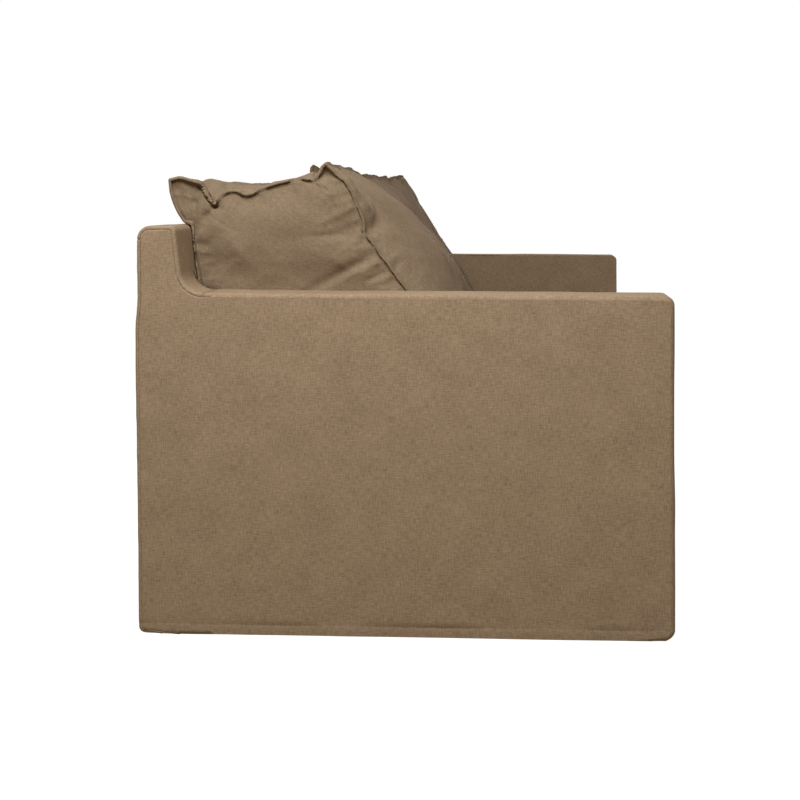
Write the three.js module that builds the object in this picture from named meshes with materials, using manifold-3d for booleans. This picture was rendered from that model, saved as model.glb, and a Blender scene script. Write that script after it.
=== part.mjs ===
// A straight three-seat sofa with thin square arms, a fitted slipcover down to the floor and loose cushions.
// Millimetres. X runs along the sofa, the front faces -Y, and the origin is on the floor in the middle.
// Left and right are named as someone sees them who stands in front of the sofa.
import * as THREE from "three";
import { mergeVertices } from "three/addons/utils/BufferGeometryUtils.js";
import Module from "manifold-3d";

const wasm = await Module();
wasm.setup();

// Overall sizes
const sofaWidth = 2200;
const sofaDepth = 1050;
const armThickness = 120;
const armFrontHeight = 664;
const armRearHeight = 673;
const backHeight = 805;
const backTopDepth = 82;
const backFootDepth = 134;
const deckHeight = 322;
const seatHeight = 478;

// Slipcover
const cloth = 3;
const hemClearance = 1;
const hemCornerRadius = 23;
const armFrontRadius = 20;
const backFrontRadius = 12;
const backRearRadius = 27;
const coveRadius = 40;
const rearStepFoot = 600;
const rearStepHead = 665;
const rearStep = 5;
const borderSetback = 8;

// Clearance between pieces that touch
const fit = 0.3;

// Padding
const wadding = 12;
const deckPadThickness = 12;
const dustClothThickness = 1;

// Hardwood frame
const railThickness = 30;
const railHeight = 140;
const postDepth = 40;
const armRailThickness = 25;
const topRailHeight = 90;
const tackRailHeight = 60;
const tackRailClearance = 18;
const stileWidth = 60;
const crossRailThickness = 34;
const crossRailHeight = 85;
const cornerBlockLeg = 90;
const cornerBlockHeight = 70;
const cornerBlockTip = 14;
const boardEase = 3;
const topBevel = 12;

// Legs and glides
const legHeight = 150;
const legTopWidth = 60;
const legFootWidth = 44;
const legInset = 60;
const legFrontInset = 45;
const legSides = 4;
const glideHeight = 5;
const glideRadius = 19;
const glideEdge = 1.5;
const glideSides = 16;

// Springs and webs
const springCount = 9;
const springWire = 4;
const springLoopWidth = 54;
const springArch = 12;
const springWaves = 12;
const springStepsPerWave = 5;
const springWireSides = 5;
const webWidth = 50;
const webThickness = 3;
const webLowHeight = 460;
const webHighHeight = 595;
const webLap = 45;

// Cushions: a gusset all round between two faces, each with its crown
const cushionCount = 3;
const cushionSideGap = 1;
const cushionRearGap = 2;
const seatEdgeShare = 0.86;
const seatFrontSetback = 10;
const seatFrontBulge = 6;
const seatSideDraw = 10;
const seatSinkAtEdge = 6;
const backRestGap = 7;
const backEarDepth = 31;
const backTopRearHeight = 885;
const backTopFrontDepth = 346;
const backTopFrontHeight = 908;
const backKneeDepth = 429;
const backKneeHeight = 782;
const backArmLineDepth = 531;
const backArmLineHeight = 658;
const backFootFrontDepth = 655;
const backRestDepth = 64;
const backRestClearance = 2;
const backSideDraw = 16;
const backGussetBulge = 8;

// Each back cushion is filled differently: its crown, how high its empty corners stand and how far it leans
const crownNear = 84;
const crownMiddle = 40;
const crownFar = 22;
const earHeightNear = 899;
const earHeightBetween = 908;
const earHeightFar = 968;
const noseHeightNear = 930;
const noseHeightBetween = 924;
const noseHeightFar = 932;
const leanFar = 30;

// Steps along a cushion, up it and through it
const cushionSteps = { along: 14, up: 10, through: 3 };

// How full a crown is: 1 is a round arch, less is a flatter top with quicker edges
const crownShare = 0.7;

// The rows of a back cushion at which its rear leaves the inside back, and clears the back's top
const backRowShares = [0, 0.6, 0.7, 1];

const arcSteps = 6;
const halfWidth = sofaWidth / 2;
const rearY = sofaDepth / 2;
const frontY = -rearY;
const innerX = halfWidth - armThickness;
const skin = cloth + fit + wadding + fit;
const coreOuterX = halfWidth - skin;
const coreInnerX = innerX + skin;
const railTop = legHeight + railHeight;

// Finishes
const linen = { color: "#8a765f", roughness: 0.95, metalness: 0 };
const beech = { color: "#c8a67c", roughness: 0.7, metalness: 0 };
const spruce = { color: "#d6bd94", roughness: 0.75, metalness: 0 };
const springSteel = { color: "#6f7175", roughness: 0.4, metalness: 1 };
const elastic = { color: "#3d3a36", roughness: 0.9, metalness: 0 };
const polyester = { color: "#ece9e1", roughness: 1, metalness: 0 };
const cambric = { color: "#22211f", roughness: 1, metalness: 0 };
const nylon = { color: "#7d7a74", roughness: 0.5, metalness: 0 };

const sofa = new THREE.Group();

// Adds one named piece to the sofa.
function addPiece(name, geometry, finish) {
  const mesh = new THREE.Mesh(geometry, new THREE.MeshStandardMaterial(finish));
  mesh.name = name;
  sofa.add(mesh);
  return mesh;
}

// Extrudes an outline drawn in (y, z) from xFrom to xTo.
function alongX(outline, xFrom, xTo) {
  const shape = outline.isShape ? outline : new THREE.Shape(outline);
  const settings = { depth: xTo - xFrom, bevelEnabled: false, curveSegments: arcSteps };
  const axes = new THREE.Matrix4().set(0, 0, 1, xFrom, 1, 0, 0, 0, 0, 1, 0, 0, 0, 0, 0, 1);
  return new THREE.ExtrudeGeometry(shape, settings).applyMatrix4(axes);
}

// Extrudes an outline drawn in (x, y) from zFrom to zTo.
function alongZ(outline, zFrom, zTo) {
  const shape = outline.isShape ? outline : new THREE.Shape(outline);
  const settings = { depth: zTo - zFrom, bevelEnabled: false, curveSegments: arcSteps };
  return new THREE.ExtrudeGeometry(shape, settings).translate(0, 0, zFrom);
}

// A board's end section, low and high corners given, with its four long edges planed off.
function boardSection(low, high, ease = boardEase) {
  return [
    new THREE.Vector2(low.x + ease, low.y),
    new THREE.Vector2(high.x - ease, low.y),
    new THREE.Vector2(high.x, low.y + ease),
    new THREE.Vector2(high.x, high.y - ease),
    new THREE.Vector2(high.x - ease, high.y),
    new THREE.Vector2(low.x + ease, high.y),
    new THREE.Vector2(low.x, high.y - ease),
    new THREE.Vector2(low.x, low.y + ease),
  ];
}

// A board that runs along X, Y or Z between two corners.
function board(grain, low, high) {
  if (grain === "x") {
    const section = boardSection(new THREE.Vector2(low.y, low.z), new THREE.Vector2(high.y, high.z));
    return alongX(section, low.x, high.x);
  }
  if (grain === "z") {
    const section = boardSection(new THREE.Vector2(low.x, low.y), new THREE.Vector2(high.x, high.y));
    return alongZ(section, low.z, high.z);
  }
  const section = boardSection(new THREE.Vector2(low.x, low.z), new THREE.Vector2(high.x, high.z));
  const axes = new THREE.Matrix4().set(1, 0, 0, 0, 0, 0, -1, high.y, 0, 1, 0, 0, 0, 0, 0, 1);
  const settings = { depth: high.y - low.y, bevelEnabled: false };
  return new THREE.ExtrudeGeometry(new THREE.Shape(section), settings).applyMatrix4(axes);
}

// The same piece on the other arm.
function mirrored(geometry) {
  const copy = geometry.index ? geometry.toNonIndexed() : geometry.clone();
  const position = copy.getAttribute("position");
  const points = [0, 1, 2].map(() => new THREE.Vector3());
  for (let first = 0; first < position.count; first += points.length) {
    points.forEach((point, corner) => point.fromBufferAttribute(position, first + corner));
    points.forEach((point, corner) => {
      const target = first + points.length - 1 - corner;
      position.setXYZ(target, -point.x, point.y, point.z);
    });
  }
  return copy;
}

// Solids for joining and cutting
function toSolid(geometry) {
  const bare = geometry.clone();
  bare.deleteAttribute("normal");
  bare.deleteAttribute("uv");
  const merged = mergeVertices(bare, fit / sofaWidth);
  return new wasm.Manifold(
    new wasm.Mesh({
      numProp: 3,
      vertProperties: merged.getAttribute("position").array,
      triVerts: new Uint32Array(merged.index.array),
    }),
  );
}

function fromSolid(solid) {
  const mesh = solid.getMesh();
  const geometry = new THREE.BufferGeometry();
  geometry.setAttribute("position", new THREE.BufferAttribute(mesh.vertProperties, mesh.numProp));
  geometry.setIndex(new THREE.BufferAttribute(mesh.triVerts, 1));
  return geometry.toNonIndexed();
}

function joined(...geometries) {
  const solids = geometries.map(toSolid);
  return fromSolid(solids.reduce((whole, solid) => whole.add(solid)));
}

function cut(geometry, ...tools) {
  return fromSolid(tools.map(toSolid).reduce((rest, tool) => rest.subtract(tool), toSolid(geometry)));
}

function block(low, high) {
  const size = new THREE.Vector3().subVectors(high, low);
  const centre = new THREE.Vector3().addVectors(low, high).divideScalar(2);
  return new THREE.BoxGeometry(size.x, size.y, size.z).translate(centre.x, centre.y, centre.z);
}

const at = (x, y, z) => new THREE.Vector3(x, y, z);
const flat = (y, z) => new THREE.Vector2(y, z);

// The front of the inside back leans: this is its y at a height.
function faceAt(z) {
  const share = (z - deckHeight) / (backHeight - deckHeight);
  return rearY - THREE.MathUtils.lerp(backFootDepth, backTopDepth, share);
}

// Where the arm's top meets the cove under the back
const coveCentre = flat(faceAt(armRearHeight + coveRadius) - coveRadius, armRearHeight + coveRadius);

function armTopAt(y) {
  const reach = Math.min(y, coveCentre.x);
  return THREE.MathUtils.mapLinear(reach, frontY, coveCentre.x, armFrontHeight, armRearHeight);
}

// The arm from its front hem, up, round the front corner and back along its top, an inset inside the cover.
function armLine(inset, foot, endY) {
  const radius = Math.max(armFrontRadius - inset, fit);
  const centre = flat(frontY + inset + radius, armFrontHeight - inset - radius);
  const path = new THREE.Path();
  path.moveTo(frontY + inset, foot);
  path.lineTo(frontY + inset, centre.y);
  path.absarc(centre.x, centre.y, radius, Math.PI, Math.PI / 2, true);
  path.lineTo(endY, armTopAt(endY) - inset);
  return path.getPoints(arcSteps);
}

// The inside back from a foot height, up its face and over its top, an inset inside the cover.
function backLine(inset, foot) {
  const faceCorner = backHeight - backFrontRadius;
  const frontCentre = flat(faceAt(faceCorner) + backFrontRadius, faceCorner);
  const rearCentre = flat(rearY - rearStep - backRearRadius, backHeight - backRearRadius);
  const path = new THREE.Path();
  path.moveTo(faceAt(foot) + inset, foot);
  path.lineTo(faceAt(faceCorner) + inset, faceCorner);
  path.absarc(frontCentre.x, frontCentre.y, backFrontRadius - inset, Math.PI, Math.PI / 2, true);
  path.lineTo(rearCentre.x, backHeight - inset);
  path.absarc(rearCentre.x, rearCentre.y, backRearRadius - inset, Math.PI / 2, 0, true);
  return path.getPoints(arcSteps);
}

// The same line where it crosses an arm, and starts with the cove.
function backLineOverArm(inset) {
  const cove = new THREE.Path();
  cove.absarc(coveCentre.x, coveCentre.y, coveRadius + inset, -Math.PI / 2, 0, false);
  return [...cove.getPoints(arcSteps), ...backLine(inset, coveCentre.y).slice(1)];
}

// The outside back from the hem up to where the top's rear roll ends. It steps in softly above the arms.
function rearLine(inset, top) {
  const low = rearY - inset;
  const high = low - rearStep;
  const middle = (rearStepFoot + rearStepHead) / 2;
  const path = new THREE.Path();
  path.moveTo(low, hemClearance);
  path.lineTo(low, rearStepFoot);
  path.bezierCurveTo(low, middle, high, middle, high, rearStepHead);
  path.lineTo(high, top);
  return path.getPoints(arcSteps);
}

function strip(outerLine, innerLine) {
  return [...outerLine, ...innerLine.slice().reverse()];
}

// Slipcover
const sideInnerX = halfWidth - cloth;
const coverOuterX = sideInnerX - fit;
const rearSeamHeight = backHeight - backRearRadius;
const deckEdge = innerX - fit;

function sidePanel() {
  const armFront = armLine(0, hemClearance + hemCornerRadius, coveCentre.x).reverse();
  const hemCorner = new THREE.Path();
  const centre = flat(frontY + hemCornerRadius, hemClearance + hemCornerRadius);
  hemCorner.absarc(centre.x, centre.y, hemCornerRadius, Math.PI, Math.PI * 1.5, false);
  const overBack = backLineOverArm(0).reverse();
  const rear = rearLine(0, rearSeamHeight);
  const outline = [
    ...rear.slice(0, -1),
    ...overBack,
    ...armFront.slice(1),
    ...hemCorner.getPoints(arcSteps).slice(1),
  ];
  return alongX(outline, sideInnerX, halfWidth);
}

function armCover() {
  const endY = coveCentre.x - fit;
  const band = strip(armLine(0, hemClearance, endY), armLine(cloth, hemClearance, endY));
  const wallRear = faceAt(armRearHeight);
  const wallTop = armRearHeight - cloth - fit;
  const wall = [
    ...armLine(0, deckHeight, endY),
    flat(endY, wallTop),
    flat(wallRear, wallTop),
    flat(wallRear, deckHeight),
  ];
  return joined(alongX(band, innerX, coverOuterX), alongX(wall, innerX, innerX + cloth));
}

function insideBackCover() {
  const foot = deckHeight + fit;
  const middle = strip(backLine(0, foot), backLine(cloth, foot));
  const upper = strip(backLine(0, coveCentre.y), backLine(cloth, coveCentre.y));
  const wing = alongX(strip(backLineOverArm(0), backLineOverArm(cloth)), innerX, coverOuterX);
  return joined(
    alongX(middle, -deckEdge, deckEdge),
    alongX(upper, -coverOuterX, coverOuterX),
    wing,
    mirrored(wing),
  );
}

function outsideBackCover() {
  const top = rearSeamHeight - fit;
  return alongX(strip(rearLine(0, top), rearLine(cloth, top)), -coverOuterX, coverOuterX);
}

const borderY = frontY + borderSetback;
const deckRearY = faceAt(deckHeight) - fit;

addPiece("cover_side_right", sidePanel(), linen);
addPiece("cover_side_left", mirrored(sidePanel()), linen);
addPiece("cover_arm_right", armCover(), linen);
addPiece("cover_arm_left", mirrored(armCover()), linen);
addPiece("cover_inside_back", insideBackCover(), linen);
addPiece("cover_outside_back", outsideBackCover(), linen);
addPiece(
  "cover_seat_deck",
  block(at(-deckEdge, borderY, deckHeight - cloth), at(deckEdge, deckRearY, deckHeight)),
  linen,
);
addPiece(
  "cover_front_border",
  block(at(-deckEdge, borderY, hemClearance), at(deckEdge, borderY + cloth, deckHeight - cloth - fit)),
  linen,
);

// Frame: rails between the posts, all at one height
const railFrontY = borderY + cloth + fit;
const woodRearY = rearY - rearStep - cloth - fit;
const railEndX = coreInnerX - fit;
const postFrontY = frontY + skin;
const rearPostFrontY = woodRearY - postDepth;
const woodTop = backHeight - skin;

addPiece(
  "seat_rail_front",
  board("x", at(-railEndX, railFrontY, legHeight), at(railEndX, railFrontY + railThickness, railTop)),
  beech,
);
addPiece(
  "seat_rail_rear",
  board("x", at(-railEndX, woodRearY - railThickness, legHeight), at(railEndX, woodRearY, railTop)),
  beech,
);
addPiece(
  "seat_rail_centre",
  board(
    "y",
    at(-crossRailThickness / 2, railFrontY + railThickness + fit, legHeight),
    at(crossRailThickness / 2, woodRearY - railThickness - fit, legHeight + crossRailHeight),
  ),
  beech,
);

const sideRail = board(
  "y",
  at(coreInnerX, postFrontY + railThickness + fit, legHeight),
  at(coreInnerX + railThickness, rearPostFrontY - fit, railTop),
);
addPiece("seat_rail_right", sideRail, beech);
addPiece("seat_rail_left", mirrored(sideRail), beech);

// Arm frame: a front post and a sloping top rail, which meets the back post
function armRailTop(y) {
  return armTopAt(y) - skin;
}

const armPostRear = postFrontY + railThickness;
const armPost = alongX(
  [
    flat(postFrontY, legHeight),
    flat(armPostRear, legHeight),
    flat(armPostRear, armRailTop(armPostRear) - armRailThickness - fit),
    flat(postFrontY, armRailTop(postFrontY) - armRailThickness - fit),
  ],
  coreInnerX,
  coreOuterX,
);
const armRailEnd = rearPostFrontY - fit;
const armRailNose = Math.max(armFrontRadius - skin, fit);
const armRail = alongX(
  [
    flat(postFrontY, armRailTop(postFrontY) - armRailThickness),
    flat(armRailEnd, armRailTop(armRailEnd) - armRailThickness),
    flat(armRailEnd, armRailTop(armRailEnd)),
    flat(postFrontY + armRailNose, armRailTop(postFrontY)),
    flat(postFrontY, armRailTop(postFrontY) - armRailNose),
  ],
  coreInnerX,
  coreOuterX,
);
addPiece("arm_post_right", armPost, beech);
addPiece("arm_post_left", mirrored(armPost), beech);
addPiece("arm_rail_right", armRail, beech);
addPiece("arm_rail_left", mirrored(armRail), beech);

// Back frame: posts to full height, a bevelled top rail, a tack rail above the deck and two stiles
const backPost = alongX(
  [
    flat(rearPostFrontY, legHeight),
    flat(woodRearY, legHeight),
    flat(woodRearY, woodTop - topBevel),
    flat(woodRearY - topBevel, woodTop),
    flat(rearPostFrontY, woodTop),
  ],
  coreInnerX,
  coreOuterX,
);
addPiece("back_post_right", backPost, beech);
addPiece("back_post_left", mirrored(backPost), beech);

const boardFrontY = woodRearY - railThickness;
const topRailFoot = woodTop - topRailHeight;
addPiece(
  "back_top_rail",
  alongX(
    [
      flat(boardFrontY, topRailFoot),
      flat(woodRearY, topRailFoot),
      flat(woodRearY, woodTop - topBevel),
      flat(woodRearY - topBevel, woodTop),
      flat(boardFrontY, woodTop),
    ],
    -railEndX,
    railEndX,
  ),
  beech,
);

const tackRailFoot = deckHeight + tackRailClearance;
const tackRailTop = tackRailFoot + tackRailHeight;
addPiece(
  "back_tack_rail",
  board("x", at(-railEndX, boardFrontY, tackRailFoot), at(railEndX, woodRearY, tackRailTop)),
  spruce,
);

const stileX = railEndX / cushionCount;
["left", "right"].forEach((side, index) => {
  const centre = index ? stileX : -stileX;
  addPiece(
    "back_stile_" + side,
    board(
      "z",
      at(centre - stileWidth / 2, boardFrontY, tackRailTop + fit),
      at(centre + stileWidth / 2, woodRearY, topRailFoot - fit),
    ),
    spruce,
  );
});

// Corner blocks: triangles with blunt tips in the four corners of the seat frame
function cornerBlock(front) {
  const cornerX = railEndX;
  const cornerY = front ? railFrontY + railThickness + fit : boardFrontY - fit;
  const turn = front ? 1 : -1;
  const outline = [
    flat(cornerX, cornerY),
    flat(cornerX, cornerY + turn * cornerBlockLeg),
    flat(cornerX - cornerBlockTip, cornerY + turn * cornerBlockLeg),
    flat(cornerX - cornerBlockLeg, cornerY + turn * cornerBlockTip),
    flat(cornerX - cornerBlockLeg, cornerY),
  ];
  return alongZ(outline, railTop - cornerBlockHeight, railTop);
}

addPiece("corner_block_front_right", cornerBlock(true), spruce);
addPiece("corner_block_front_left", mirrored(cornerBlock(true)), spruce);
addPiece("corner_block_rear_right", cornerBlock(false), spruce);
addPiece("corner_block_rear_left", mirrored(cornerBlock(false)), spruce);

// Legs: square tapers on round glides, one at each corner and one under the centre rail
const legPlaces = [
  { name: "front_left", x: -(halfWidth - legInset), y: frontY + legFrontInset },
  { name: "front_right", x: halfWidth - legInset, y: frontY + legFrontInset },
  { name: "rear_left", x: -(halfWidth - legInset), y: rearY - legFrontInset },
  { name: "rear_right", x: halfWidth - legInset, y: rearY - legFrontInset },
  { name: "centre", x: 0, y: 0 },
];

function leg() {
  const foot = glideHeight + fit;
  const head = legHeight - fit;
  const headRadius = legTopWidth / Math.SQRT2;
  const footRadius = legFootWidth / Math.SQRT2;
  const taper = new THREE.CylinderGeometry(headRadius, footRadius, head - foot, legSides);
  return taper.rotateX(Math.PI / 2).rotateZ(Math.PI / 4).translate(0, 0, (head + foot) / 2);
}

function glide() {
  const profile = [
    flat(0, 0),
    flat(glideRadius - glideEdge, 0),
    flat(glideRadius, glideEdge),
    flat(glideRadius, glideHeight - glideEdge),
    flat(glideRadius - glideEdge, glideHeight),
    flat(0, glideHeight),
  ];
  return new THREE.LatheGeometry(profile, glideSides).rotateX(Math.PI / 2);
}

legPlaces.forEach((place) => {
  addPiece("leg_" + place.name, leg(), beech).position.set(place.x, place.y, 0);
  addPiece("glide_" + place.name, glide(), nylon).position.set(place.x, place.y, 0);
});

// Zigzag springs: one wire each, from the front rail to the rear rail, arched in the middle
const springFrontY = railFrontY + railThickness / 2;
const springRearY = woodRearY - railThickness / 2;
const springRestZ = railTop + fit + springWire / 2;

class ZigzagCurve extends THREE.Curve {
  getPoint(t, target = new THREE.Vector3()) {
    const swing = Math.sin(t * springWaves * 2 * Math.PI);
    const x = (swing * (springLoopWidth - springWire)) / 2;
    const y = THREE.MathUtils.lerp(springFrontY, springRearY, t);
    return target.set(x, y, springRestZ + springArch * Math.sin(t * Math.PI));
  }

  // Even steps in t keep each wave alike.
  getPointAt(t, target) {
    return this.getPoint(t, target);
  }

  getTangentAt(t, target) {
    return this.getTangent(t, target);
  }
}

function zigzagSpring() {
  const section = new THREE.Shape();
  for (let side = 0; side < springWireSides; side++) {
    const angle = (side / springWireSides) * 2 * Math.PI;
    const point = flat(Math.cos(angle), Math.sin(angle)).multiplyScalar(springWire / 2);
    side ? section.lineTo(point.x, point.y) : section.moveTo(point.x, point.y);
  }
  const steps = springWaves * springStepsPerWave;
  return new THREE.ExtrudeGeometry(section, { steps, extrudePath: new ZigzagCurve(), bevelEnabled: false });
}

const springPitch = (railEndX * 2) / springCount;
for (let index = 0; index < springCount; index++) {
  const place = (index - (springCount - 1) / 2) * springPitch;
  addPiece("seat_spring_" + (index + 1), zigzagSpring(), springSteel).position.x = place;
}

// Pads and lining
const deckPadTop = deckHeight - cloth - fit;
addPiece(
  "seat_deck_pad",
  block(at(-railEndX, railFrontY, deckPadTop - deckPadThickness), at(railEndX, woodRearY, deckPadTop)),
  polyester,
);

const webRearY = rearPostFrontY - fit;
const webFrontY = webRearY - webThickness;
["low", "high"].forEach((name, index) => {
  const middle = index ? webHighHeight : webLowHeight;
  const reach = coreInnerX + webLap;
  addPiece(
    "back_web_" + name,
    block(at(-reach, webFrontY, middle - webWidth / 2), at(reach, webRearY, middle + webWidth / 2)),
    elastic,
  );
});

const padRearY = webFrontY - fit;

function armPad() {
  const outer = armLine(cloth + fit, legHeight, coveCentre.x);
  const rearTop = armRearHeight - cloth - fit;
  const whole = [...outer, flat(padRearY, rearTop), flat(padRearY, legHeight)];
  const coreLine = armLine(cloth + fit + wadding, 0, coveCentre.x);
  const core = [...coreLine, flat(rearY, rearTop - wadding), flat(rearY, 0)];
  const coreX = innerX + cloth + fit + wadding;
  return cut(
    alongX(whole, innerX + cloth + fit, sideInnerX - fit),
    alongX(core, coreX, sideInnerX - fit - wadding),
    block(at(0, frontY, 0), at(coreX, rearY, deckHeight + fit)),
  );
}

addPiece("arm_pad_right", armPad(), polyester);
addPiece("arm_pad_left", mirrored(armPad()), polyester);

function backPad() {
  const inset = cloth + fit;
  const foot = deckHeight + fit;
  const lipRear = rearY - rearStep - backRearRadius;
  const overTop = [
    flat(lipRear, backHeight - inset),
    flat(lipRear, woodTop + fit),
    flat(padRearY, woodTop + fit),
  ];
  const roll = (from) => backLine(inset, from).filter((point) => point.x <= lipRear);
  const middle = [...roll(foot), ...overTop, flat(padRearY, foot)];
  const wingFoot = armRearHeight - cloth;
  const wing = [...roll(wingFoot), ...overTop, flat(padRearY, wingFoot)];
  return joined(alongX(middle, -deckEdge, deckEdge), alongX(wing, -coreOuterX, coreOuterX));
}

addPiece("back_pad", backPad(), polyester);

// The dust cover under the frame is notched round the corner legs and holed round the centre one.
function dustCover() {
  const high = legHeight - fit;
  const low = high - dustClothThickness;
  const edgeX = coreInnerX + railThickness;
  const whole = block(at(-edgeX, railFrontY, low), at(edgeX, woodRearY, high));
  const clear = legTopWidth / 2 + fit;
  const holes = legPlaces.map(({ x, y }) => {
    const outX = Math.sign(x) * armThickness;
    const outY = Math.sign(y) * armThickness;
    return block(
      at(x - clear + Math.min(outX, 0), y - clear + Math.min(outY, 0), 0),
      at(x + clear + Math.max(outX, 0), y + clear + Math.max(outY, 0), legHeight),
    );
  });
  return cut(whole, ...holes);
}

addPiece("dust_cover", dustCover(), cambric);

// Cushions
const cushionPitch = (innerX * 2) / cushionCount;
const cushionWidth = cushionPitch - cushionSideGap * 2;

function arch(share) {
  return Math.pow(1 - share * share, crownShare);
}

// A boxed cushion: a cube's skin is carried onto the gusset between a rear line and a front line. Both are
// drawn in (y, z) and change along the cushion.
function boxedCushion({ rearLineAt, frontLineAt, crown, sideDraw, endBulge, gussetBulge, centreX }) {
  const steps = cushionSteps;
  const cube = new THREE.BoxGeometry(1, 1, 1, steps.along, steps.up, steps.through);
  cube.deleteAttribute("normal");
  cube.deleteAttribute("uv");
  const geometry = mergeVertices(cube);
  const position = geometry.getAttribute("position");
  const point = new THREE.Vector3();
  for (let index = 0; index < position.count; index++) {
    const { x: u, y: v, z: w } = point.fromBufferAttribute(position, index).multiplyScalar(2);
    const share = (v + 1) / 2;
    const front = frontLineAt(share, u);
    const place = rearLineAt(share, u).lerp(front.point, (w + 1) / 2);
    if (w === 1) place.addScaledVector(front.normal, crown * arch(u) * arch(v));
    if (v === Math.sign(endBulge)) place.addScaledVector(front.along, endBulge * arch(u) * arch(w));
    const bulge = Math.abs(u) === 1 ? gussetBulge * arch(w) * arch(v) : 0;
    const half = cushionWidth / 2 - sideDraw * arch(v) + bulge;
    position.setXYZ(index, centreX + u * half, place.x, place.y);
  }
  return geometry.toNonIndexed();
}

// Reads a line of the section at a share of its length, with its outward normal.
function reader(points) {
  const curve = new THREE.SplineCurve(points);
  return (share) => {
    const along = curve.getTangent(share);
    return { point: curve.getPoint(share), along, normal: flat(-along.y, along.x) };
  };
}

// Reads a line of straight stretches, each of which starts and ends at its own share.
function between(points, shares, share) {
  const next = Math.max(shares.findIndex((end) => end >= share), 1);
  const along = (share - shares[next - 1]) / (shares[next] - shares[next - 1]);
  return points[next - 1].clone().lerp(points[next], along);
}

const seatRearY = faceAt(deckHeight) - cushionRearGap;
const seatFrontY = frontY + seatFrontSetback;
const seatFoot = deckHeight + fit;
const seatEdgeZ = THREE.MathUtils.lerp(seatFoot, seatHeight, seatEdgeShare);
const seatCrown = seatHeight - seatEdgeZ;

function seatCushion(centreX) {
  const footFrontY = seatFrontY + seatFrontBulge;
  const top = reader([
    flat(footFrontY, seatEdgeZ - seatSinkAtEdge),
    flat(THREE.MathUtils.lerp(seatFrontY, seatRearY, 1 / 2), seatEdgeZ),
    flat(seatRearY, seatEdgeZ - seatSinkAtEdge),
  ]);
  const bottom = (share) => flat(THREE.MathUtils.lerp(footFrontY, seatRearY, share), seatFoot);
  return boxedCushion({
    rearLineAt: bottom,
    frontLineAt: top,
    crown: seatCrown,
    sideDraw: seatSideDraw,
    endBulge: -seatFrontBulge,
    gussetBulge: seatSideDraw,
    centreX,
  });
}

const backFoot = seatHeight + fit;

// A height along a cushion's top seam: it sags between its two corners, u runs from -1 at the left one to 1.
function sagging(low, corners, u) {
  const corner = u < 0 ? corners[0] : corners[1];
  return THREE.MathUtils.lerp(corner, low, arch(u));
}

function backCushion(centreX, { crown, ears, noses, lean }) {
  const shoulder = backHeight + backRestClearance;
  const rearLineAt = (share, u) => {
    const points = [
      flat(faceAt(backFoot) - backRestGap, backFoot),
      flat(faceAt(backHeight) - backRestGap, shoulder),
      flat(rearY - backRestDepth, shoulder),
      flat(rearY - backEarDepth, sagging(backTopRearHeight, ears, u)),
    ];
    return between(points, backRowShares, share);
  };
  const frontLineAt = (share, u) => {
    const back = lean * (u + 1) / 2;
    const frontAt = reader([
      flat(rearY - backFootFrontDepth, backFoot),
      flat(rearY - backArmLineDepth + back, backArmLineHeight),
      flat(rearY - backKneeDepth + back, backKneeHeight),
      flat(rearY - backTopFrontDepth, sagging(backTopFrontHeight, noses, u)),
    ]);
    return frontAt(share);
  };
  return boxedCushion({
    rearLineAt,
    frontLineAt,
    crown,
    sideDraw: backSideDraw,
    endBulge: backGussetBulge,
    gussetBulge: backGussetBulge,
    centreX,
  });
}

const fillings = [
  {
    name: "left",
    crown: crownNear,
    ears: [earHeightNear, earHeightBetween],
    noses: [noseHeightNear, noseHeightBetween],
    lean: 0,
  },
  {
    name: "centre",
    crown: crownMiddle,
    ears: [earHeightBetween, earHeightBetween],
    noses: [noseHeightBetween, noseHeightBetween],
    lean: 0,
  },
  {
    name: "right",
    crown: crownFar,
    ears: [earHeightBetween, earHeightFar],
    noses: [noseHeightBetween, noseHeightFar],
    lean: leanFar,
  },
];
fillings.forEach((filling, index) => {
  const centreX = (index - (cushionCount - 1) / 2) * cushionPitch;
  addPiece("seat_cushion_" + filling.name, seatCushion(centreX), linen);
  addPiece("back_cushion_" + filling.name, backCushion(centreX, filling), linen);
});

export default sofa;
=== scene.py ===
# %% [markdown]
# # A slipcovered sofa, dressed for a picture
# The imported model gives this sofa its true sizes: a wooden frame, springs, wadding, a slipcover and six loose
# cushions. This notebook keeps the frame as it is and makes the cloth again, because cloth is what everyone sees.
# Everything is in metres. X runs along the sofa, the front faces -Y, and the floor is at zero.

# %% Load the model
import math
import time

import bmesh
import bpy
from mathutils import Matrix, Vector, kdtree, noise


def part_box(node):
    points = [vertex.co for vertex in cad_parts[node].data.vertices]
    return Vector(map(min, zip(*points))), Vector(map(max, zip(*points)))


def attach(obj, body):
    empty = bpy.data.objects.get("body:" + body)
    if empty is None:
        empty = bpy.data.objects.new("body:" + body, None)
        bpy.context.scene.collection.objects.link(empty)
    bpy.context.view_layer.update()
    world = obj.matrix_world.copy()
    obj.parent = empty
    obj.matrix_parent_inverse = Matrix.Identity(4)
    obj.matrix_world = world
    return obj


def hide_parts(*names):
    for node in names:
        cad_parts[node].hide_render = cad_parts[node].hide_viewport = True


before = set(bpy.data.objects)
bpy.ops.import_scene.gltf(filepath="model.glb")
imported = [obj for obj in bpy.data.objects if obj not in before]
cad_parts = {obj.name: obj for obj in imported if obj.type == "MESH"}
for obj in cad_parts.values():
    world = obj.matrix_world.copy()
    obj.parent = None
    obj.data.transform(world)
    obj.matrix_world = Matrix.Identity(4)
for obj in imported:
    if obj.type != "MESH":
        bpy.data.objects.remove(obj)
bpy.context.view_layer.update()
noise.seed_set(1)  # without a seed, Blender's vector noise would follow the clock and change with each run
began = time.time()

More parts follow.
